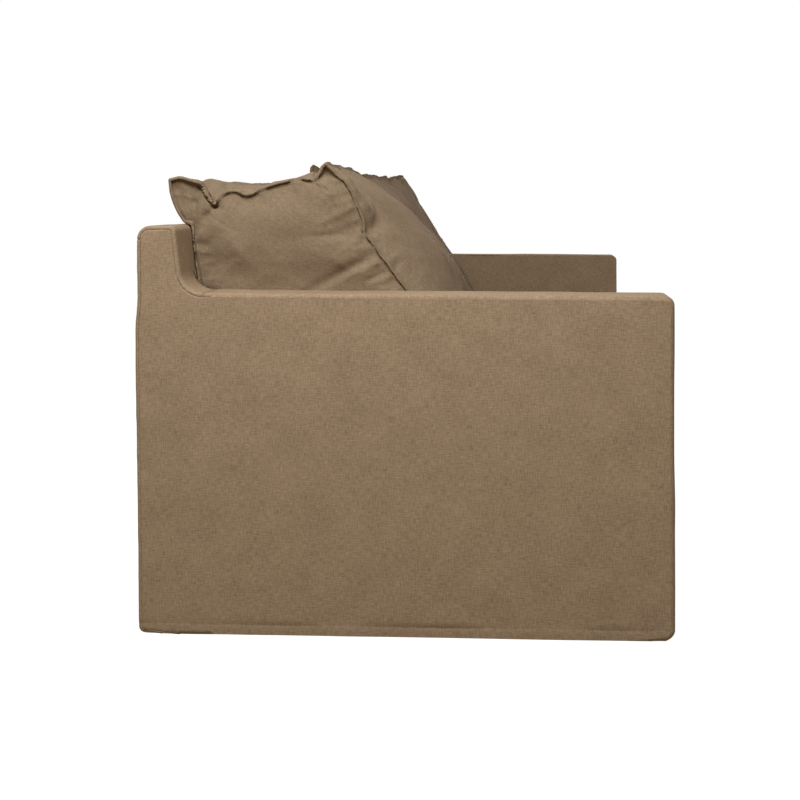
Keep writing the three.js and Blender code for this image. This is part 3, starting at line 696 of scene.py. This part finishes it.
def sew(bm):
    seams = [edge for edge in bm.edges if edge.seam]
    made = bmesh.ops.bevel(bm, geom=seams, offset=SEAM_WIDTH, offset_type="OFFSET", segments=3, profile=0.5,
                           affect="EDGES", material=-1, clamp_overlap=True)
    strip = set(made["faces"])
    bm.normal_update()
    banks = {}
    for vert in made["verts"]:
        beside = [face for face in vert.link_faces if face not in strip]
        if beside:
            banks[vert] = (beside[0].normal.copy(), all(face.material_index == BOXING for face in beside))
    moves = []
    for vert in made["verts"]:
        if vert in banks:
            normal, boxing = banks[vert]
            moves.append((vert, normal * (-GROOVE if boxing else LIP)))
            continue
        nearby = [banks[edge.other_vert(vert)] for edge in vert.link_edges if edge.other_vert(vert) in banks]
        forward = next((normal for normal, boxing in nearby if boxing), None)
        moves.append((vert, (forward or vert.normal) * LIP * LIP_MIDDLE))
    for vert, move in moves:
        vert.co += move
    for face in strip:
        face.smooth = True


print("seams", SEAM_WIDTH * 2000, "mm wide")

# %% [markdown]
# The steps come together here. A few creases of the near end are too special for noise, so they are drawn one by
# one: from where to where, how wide and how deep. A minus makes a ridge.

# %% Make a cushion piece
NEAR_CREASES = [  # depth and height of both ends, half width, depth of the fold
    ((.103, .880), (.092, .850), 0.006, 0.0055), ((.092, .850), (.086, .786), 0.007, 0.0050),
    ((.134, .842), (.125, .826), 0.006, 0.0070), ((.118, .825), (.112, .795), 0.008, 0.0030),
    ((.414, .834), (.352, .806), 0.007, -0.0035), ((.408, .862), (.372, .850), 0.006, 0.0025),
    ((.428, .800), (.345, .770), 0.009, 0.0030), ((.436, .783), (.402, .752), 0.007, -0.0030),
    ((.440, .728), (.319, .664), 0.012, 0.0080), ((.462, .724), (.400, .692), 0.008, -0.0045),
    ((.478, .703), (.426, .680), 0.007, 0.0050), ((.494, .688), (.456, .674), 0.007, 0.0035),
]
PROUD = 0.009  # how far a wrinkle or a seam may stand beyond the clear shape


def crease_at(place, creases):
    fold = 0
    spot = Vector((REAR - place.y, place.z))
    for start, end, width, deep in creases:
        run = Vector(end) - Vector(start)
        share = min(max((spot - Vector(start)).dot(run) / run.length_squared, 0), 1)
        off = (spot - Vector(start) - run * share).length
        fold += deep * (1 - 0.5 * share) * math.exp(-(off / width) ** 2)
    return fold


def cushion_piece(name, bm, node, fill, keep_clear, cloth, size, seed, creases=()):
    started = time.time()
    cap, let_out, pressure = cloth  # furthest a point may move, share let out at the seams, air pressure
    mesh = bpy.data.meshes.new(name)
    bm.to_mesh(mesh)
    bm.free()
    piece = placed(name, mesh)
    start = [vert.co.copy() for vert in mesh.vertices]
    for vert, first, last in zip(mesh.vertices, start, filled(piece, let_out, pressure)):
        vert.co = capped(first, last, cap)
    final = bmesh.new()
    final.from_mesh(mesh)
    bmesh.ops.subdivide_edges(final, edges=final.edges[:], cuts=1, use_grid_fill=True)
    on_seams = {vert for edge in final.edges if edge.seam for vert in edge.verts}
    loose = [vert for vert in final.verts if vert not in on_seams]
    bmesh.ops.smooth_vert(final, verts=loose, factor=0.5, use_axis_x=True, use_axis_y=True, use_axis_z=True)
    final.normal_update()
    for vert, amount in zip(final.verts, gathers(final, size, seed)):
        end_strip = all(face.material_index == BOXING for face in vert.link_faces) and vert.normal.x < -0.5
        fold = crease_at(vert.co, creases) if end_strip else 0
        vert.co = keep_clear(keep_clear(vert.co) + vert.normal * (amount - fold), PROUD)
    sew(final)
    for vert in final.verts:
        vert.co = keep_clear(vert.co, PROUD)
    for face in final.faces:
        face.material_index = 0
    final.verts.layers.float_vector.remove(final.verts.layers.float_vector["home"])
    final.to_mesh(mesh)
    final.free()
    # the cushions' linen is painted darker, as shade
    mesh.materials.append(SHADED_CUSHION_LINEN)
    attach(piece, node)
    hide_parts(node)
    print(name, len(mesh.polygons), "faces,", round(time.time() - started, 1), "s")


print("creases drawn by hand", len(NEAR_CREASES))

# %% [markdown]
# ## The three back cushions
# They differ as real ones do. The near one is the fullest, and above the arm its end bulges out over it. The next
# ones are flatter, and the far one stands up at its far rear corner.

# %% Back cushions
OVER_ARM = 0.016  # how far an end may lie over the arm
SIDE_GAP, BACK_GAP, TOP_GAP = 0.0005, 0.003, 0.002  # room left beside a cushion, behind it and under it
REAR_MARGIN = 0.012  # the ears stay this far in from the sofa's rear


def clear_of_back(low_x, high_x):
    def keep_clear(place, proud=0):
        x, y, z = place
        room = (OVER_ARM + proud) * over_arm(z)
        left_room = room if low_x < SIDE_X / 2 - 0.2 else 0
        right_room = room if high_x > -SIDE_X / 2 + 0.2 else 0
        x = min(max(x, low_x + SIDE_GAP - left_room), high_x - SIDE_GAP + right_room)
        z = max(z, FOOT)
        if z < TOP + TOP_GAP and y > back_face(z) - BACK_GAP:  # inside the back: go in front of it or on top
            y = back_face(min(z, TOP)) - BACK_GAP if y < back_face(TOP) + 0.012 else y
            if y > back_face(z):
                z = TOP + TOP_GAP
        return Vector((x, min(y, REAR - REAR_MARGIN), z))
    return keep_clear


FINE, MEDIUM = ((0.0090, 0.0140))
BETWEEN = plain_end((.034, .886), (.352, .912))
FAR_END = plain_end((.034, .890), (.334, .926), spike=[(.030, .970), (.048, .967), (.058, .925), (.09, .90)])
BACK_CUSHIONS = [  # name, both ends, how full, grid steps, share of cloth let out, creases and shape
    ("left", [NEAR_END, plain_end((.034, .884), (.352, .911))], 0.7, (0.010, FINE, FINE), 0.09, NEAR_CREASES,
     {"crown": 0.080, "dip": 0.042, "wander": 0.006, "lean": (0, 0), "bulge": (0.008, 0.004)}),
    ("centre", [BETWEEN, BETWEEN], 0.6, (MEDIUM,) * 3, 0.05, (),
     {"crown": 0.010, "dip": 0.034, "wander": 0.008, "lean": (0, 0.01), "bulge": (0.004, 0.004)}),
    ("right", [BETWEEN, FAR_END], 0.6, (MEDIUM,) * 3, 0.05, (),
     {"crown": -0.018, "dip": 0.034, "wander": 0.008, "lean": (0.01, 0.06), "bulge": (0.004, 0.008)}),
]
for number, (name, ends, fill, steps, let_out, creases, shape) in enumerate(BACK_CUSHIONS):
    node = "back_cushion_" + name
    low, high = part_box(node)
    size = (high.x - low.x, 0.50, 0.42)  # the cloth's size along the sofa, up the front and over the top
    cushion = gridded_cube(size, steps, number * 0.37)
    back_cushion_form(cushion, low.x, high.x, ends, shape, number * 11.3)
    cushion_piece("cushion_back_" + name, cushion, node, fill, clear_of_back(low.x, high.x),
                  (0.020, let_out, 4.0), size, number * 17 + 1, creases)

# %% [markdown]
# ## The three seat cushions
# They are made the same way from a flatter cube. People sit on them, so they are firmer: the seams run straighter,
# the top swells less, and the strips at the front bulge a little. The back cushions press their rear half flat.

# %% Seat cushions
def seat_cushion_form(bm, low, high, seed):
    middle, half = (low + high) / 2, (high - low) / 2
    edge = 0.024  # how far the top seam lies below the crown
    for vert in bm.verts:
        u, v, w = vert.co
        wave = 0.0022 * noise.noise(Vector((u * 3 + seed, v * 4, w * 2)))
        drawn, strip = 0.008 * arch(v), 0.010 * arch(v) * arch(w)
        x = middle.x + u * (half.x - 0.001 + (strip - drawn) * abs(u) ** 12)
        y = middle.y + v * (half.y - 0.002 + (0.009 * arch(u) * arch(w) - 0.006 * arch(u)) * abs(v) ** 12)
        top = high.z - edge + edge * arch(u) * arch(v) + wave
        z = low.z + (top - low.z) * (w + 1) / 2
        vert.co = (x, y + wave, z)


PRESSED_DEPTH = 0.675  # the back cushions press the seat flat as far forward as this


def clear_of_seat(low, high):
    def keep_clear(place, proud=0):
        pressed = place.y > REAR - PRESSED_DEPTH
        top = high.z - SIDE_GAP if pressed else high.z + 0.006
        return Vector((min(max(place.x, low.x + SIDE_GAP), high.x - SIDE_GAP),
                       min(max(place.y, low.y - 0.004), high.y - 0.001),
                       min(max(place.z, low.z), top)))
    return keep_clear


SEAT_STEP = 0.018
for number, name in enumerate(("left", "centre", "right")):
    node = "seat_cushion_" + name
    low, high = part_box(node)
    size = high - low
    cushion = gridded_cube(size, (SEAT_STEP,) * 3, 5 + number * 0.41)
    seat_cushion_form(cushion, low, high, number * 7.7)
    cushion_piece("cushion_seat_" + name, cushion, node, 0.8, clear_of_seat(low, high),
                  (0.012, 0.05, 3.0), size, number * 13 + 50)

# %% [markdown]
# ## What the cover hides
# The frame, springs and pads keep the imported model's own shapes. They only need their finishes, so that the sofa
# looks right with its cover off. Wood gets rings that are stretched along the grain of each board. Planed beech is
# even and a little smooth, and sawn spruce is paler, with wider rings.

# %% Wood
def wood(name, pale, dark, grain, ring=0.006, reach=0.30):  # rings 6 mm apart run on for 0.3 m
    material = new_material(name)
    place = add_node(material, "TexCoord")
    scale = [1 / ring] * 3
    scale[grain] = 1 / reach
    stretch = add_node(material, "Mapping", {"Scale": scale}, {"Vector": place.outputs["Object"]})
    rings = add_node(material, "TexNoise", {"Scale": 0.5, "Detail": 4.0, "Distortion": 0.6},
                     {"Vector": stretch.outputs[0]})
    pores = add_node(material, "TexNoise", {"Scale": 6.0, "Detail": 2.0}, {"Vector": stretch.outputs[0]})
    tone = add_node(material, "ValToRGB", links={"Fac": rings.outputs["Fac"]})
    tone.color_ramp.elements[0].position, tone.color_ramp.elements[1].position = 0.35, 0.65
    tone.color_ramp.elements[0].color, tone.color_ramp.elements[1].color = linear(dark), linear(pale)
    rough = add_node(material, "MapRange", {"To Min": 0.55, "To Max": 0.75}, {"Value": pores.outputs["Fac"]})
    bump = add_node(material, "Bump", {"Strength": 0.2, "Distance": 0.0004}, {"Height": pores.outputs["Fac"]})
    shader = add_node(material, "BsdfPrincipled", {"Specular IOR Level": 0.4},
                      {"Base Color": tone.outputs["Color"], "Roughness": rough.outputs[0], "Normal": bump.outputs[0]})
    return finish_material(material, shader)


BEECH = [wood("planed_beech_" + "xyz"[i], "#cfae85", "#b58d62", i) for i in range(3)]
SPRUCE = [wood("sawn_spruce_" + "xyz"[i], "#dcc49b", "#c2a271", i, ring=0.009) for i in range(3)]
print("beech and spruce, each with grain along x, y and z")

# %% [markdown]
# Zigzag springs are oiled steel, which looks dark with a soft shine. The webs are woven rubber and polyester with
# ribs across. The wadding is a pale fluff of fibres, the lining a black felt without gloss, and the glides are
# moulded nylon with a dull shine. The number after the colours is the size of their specks in metres.

# %% Steel, web, wadding, lining and glides
def speckled(name, dark, pale, size, roughness, metal=0.0, relief=0.0002):
    material = new_material(name)
    place = add_node(material, "TexCoord")
    specks = add_node(material, "TexNoise", {"Scale": 1 / size, "Detail": 3.0}, {"Vector": place.outputs["Object"]})
    tone = add_node(material, "Mix", {"data_type": "RGBA", 6: linear(dark), 7: linear(pale)},
                    {0: specks.outputs["Fac"]})
    bump = add_node(material, "Bump", {"Strength": 0.4, "Distance": relief}, {"Height": specks.outputs["Fac"]})
    shader = add_node(material, "BsdfPrincipled", {"Roughness": roughness, "Metallic": metal},
                      {"Base Color": tone.outputs[2], "Normal": bump.outputs[0]})
    return finish_material(material, shader)


SPRING_STEEL = speckled("oiled_spring_steel", "#4f5054", "#85878b", 0.006, 0.38, metal=1.0)
WADDING = speckled("polyester_wadding", "#dedad0", "#f4f1ea", 0.005, 0.95, relief=0.0015)
CAMBRIC = speckled("black_cambric", "#1b1a19", "#2d2c2a", 0.0015, 0.95)
GLIDE_NYLON = speckled("moulded_nylon", "#75726c", "#86837d", 0.02, 0.45)


def webbing(name, ground, rib, pitch=0.0025):  # a rib every 2.5 mm
    material = new_material(name)
    place = add_node(material, "TexCoord")
    # A wave texture repeats every tau / 20 of its scale, hence the factor.
    ribs = add_node(material, "TexWave",
                    {"Scale": math.tau / (pitch * 20), "Distortion": 0.4, "bands_direction": "Z"},
                    {"Vector": place.outputs["Object"]})
    tone = add_node(material, "Mix", {"data_type": "RGBA", 6: linear(ground), 7: linear(rib)},
                    {0: ribs.outputs["Fac"]})
    bump = add_node(material, "Bump", {"Strength": 0.5, "Distance": 0.0006}, {"Height": ribs.outputs["Fac"]})
    shader = add_node(material, "BsdfPrincipled", {"Roughness": 0.85},
                      {"Base Color": tone.outputs[2], "Normal": bump.outputs[0]})
    return finish_material(material, shader)


ELASTIC_WEB = webbing("elastic_webbing", "#2f2c29", "#57524b")
print("rib pitch 2.5 mm")

# %% Give each hidden part its finish
FINISHES = {  # how a part's name starts, and its finish. The first that fits counts.
    "seat_rail_centre": BEECH[1], "seat_rail_left": BEECH[1], "seat_rail_right": BEECH[1], "arm_rail": BEECH[1],
    "arm_post": BEECH[2], "back_post": BEECH[2], "leg_": BEECH[2], "seat_rail": BEECH[0], "back_top": BEECH[0],
    "back_tack": SPRUCE[0], "back_stile": SPRUCE[2], "corner_block": SPRUCE[2], "glide_": GLIDE_NYLON,
    "seat_spring": SPRING_STEEL, "back_web": ELASTIC_WEB, "arm_pad": WADDING, "back_pad": WADDING,
    "seat_deck_pad": WADDING, "dust_cover": CAMBRIC,
}
dressed = 0
for name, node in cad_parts.items():
    finish = next((look for start, look in FINISHES.items() if name.startswith(start)), None)
    if finish:
        for part in node.material_slots:
            part.material = finish
        dressed += 1
print("hidden parts with a finish", dressed)

# %% [markdown]
# ## Studio
# The picture has a white ground and soft light that falls from above on the near end. The light fades towards the
# far arm. One large lamp close to the near end does that, because light from close by fades quickly. The sky adds
# an even level, and weak lamps lift the front, the back and the far end for other views.
# The floor shows white to the camera but still takes part of its shade from the real light, so the sofa stands on
# it with a faint shadow. It throws less light back than it shows, which keeps the foot of the sofa darker. The large
# lamp is a little cool and the floor's light a little warm, so the cloth looks greyer above and browner below.

# %% Floor and sky
WHITE = (1, 1, 1, 1)
THROWN_BACK = "#aca18f"  # the floor's colour for the light that it throws back
GLOW_SHARE = 0.8  # how much of the floor that the camera sees is glow, and the rest is lit paper
FILL = 0.25


def seen_directly(owner):
    rays = add_node(owner, "LightPath")
    either = add_node(owner, "Math", {"operation": "MAXIMUM"},
                      {0: rays.outputs["Is Camera Ray"], 1: rays.outputs["Is Glossy Ray"]})
    return add_node(owner, "Math", {"operation": "MAXIMUM"},
                    {0: either.outputs[0], 1: rays.outputs["Is Transmission Ray"]})


def white_ground():
    material = new_material("white_studio_floor")
    seen = seen_directly(material).outputs[0]
    bounce = add_node(material, "MixRGB", {1: linear(THROWN_BACK), 2: WHITE}, {0: seen})
    paper = add_node(material, "BsdfDiffuse", {"Roughness": 0.5}, {"Color": bounce.outputs[0]})
    glow = add_node(material, "Emission", {"Color": WHITE, "Strength": 1.2})
    share = add_node(material, "Math", {"operation": "MULTIPLY", 1: GLOW_SHARE}, {0: seen})
    shader = add_node(material, "MixShader", links={0: share.outputs[0], 1: paper.outputs[0], 2: glow.outputs[0]})
    return finish_material(material, shader)


ground = bmesh.new()
bmesh.ops.create_grid(ground, x_segments=1, y_segments=1, size=30)
floor_mesh = bpy.data.meshes.new("studio_floor")
ground.to_mesh(floor_mesh)
ground.free()
floor_mesh.materials.append(white_ground())
placed("studio_floor", floor_mesh)

world = bpy.data.worlds.new("studio_sky")
world.use_nodes = True
world.node_tree.nodes.clear()
fill = add_node(world, "Background", {"Color": linear("#fff8ee"), "Strength": FILL})
white = add_node(world, "Background", {"Color": WHITE, "Strength": 1.0})
sky = add_node(world, "MixShader",
               links={0: seen_directly(world).outputs[0], 1: fill.outputs[0], 2: white.outputs[0]})
add_node(world, "OutputWorld", links={"Surface": sky.outputs[0]})
bpy.context.scene.world = world
print("sky level", FILL)

# %% Lamps
def softbox(name, place, target, size, power, colour="#ffffff"):
    lamp = bpy.data.lights.new(name, "AREA")
    lamp.shape, lamp.size, lamp.size_y, lamp.energy = "RECTANGLE", size[0], size[1], power
    lamp.color = linear(colour)[:3]
    stand = placed(name, lamp)
    stand.location = place
    stand.rotation_euler = (Vector(target) - Vector(place)).to_track_quat("-Z", "Y").to_euler()


softbox("key_softbox", (-2.3, 0.20, 2.35), (-1.0, 0.0, 0.6), (1.4, 1.0), 75, "#ebf4fc")
softbox("top_softbox", (0.2, 0.2, 3.0), (0.2, 0.2, 0.4), (2.6, 1.4), 6)
softbox("front_softbox", (2.3, -3.3, 1.9), (0.5, 0.0, 0.4), (2.6, 1.6), 12)
softbox("end_softbox", (3.7, 0.1, 1.8), (1.1, 0.0, 0.4), (1.8, 1.4), 24)
softbox("rear_softbox", (0.8, 3.8, 2.1), (0.4, 0.0, 0.4), (2.6, 1.6), 24)
bpy.context.scene.view_settings.view_transform = "Standard"
print("lamps", len(bpy.data.lights))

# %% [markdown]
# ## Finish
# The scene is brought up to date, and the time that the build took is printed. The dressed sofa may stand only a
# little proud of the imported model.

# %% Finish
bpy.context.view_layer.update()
print("made in", round(time.time() - began, 1), "s")
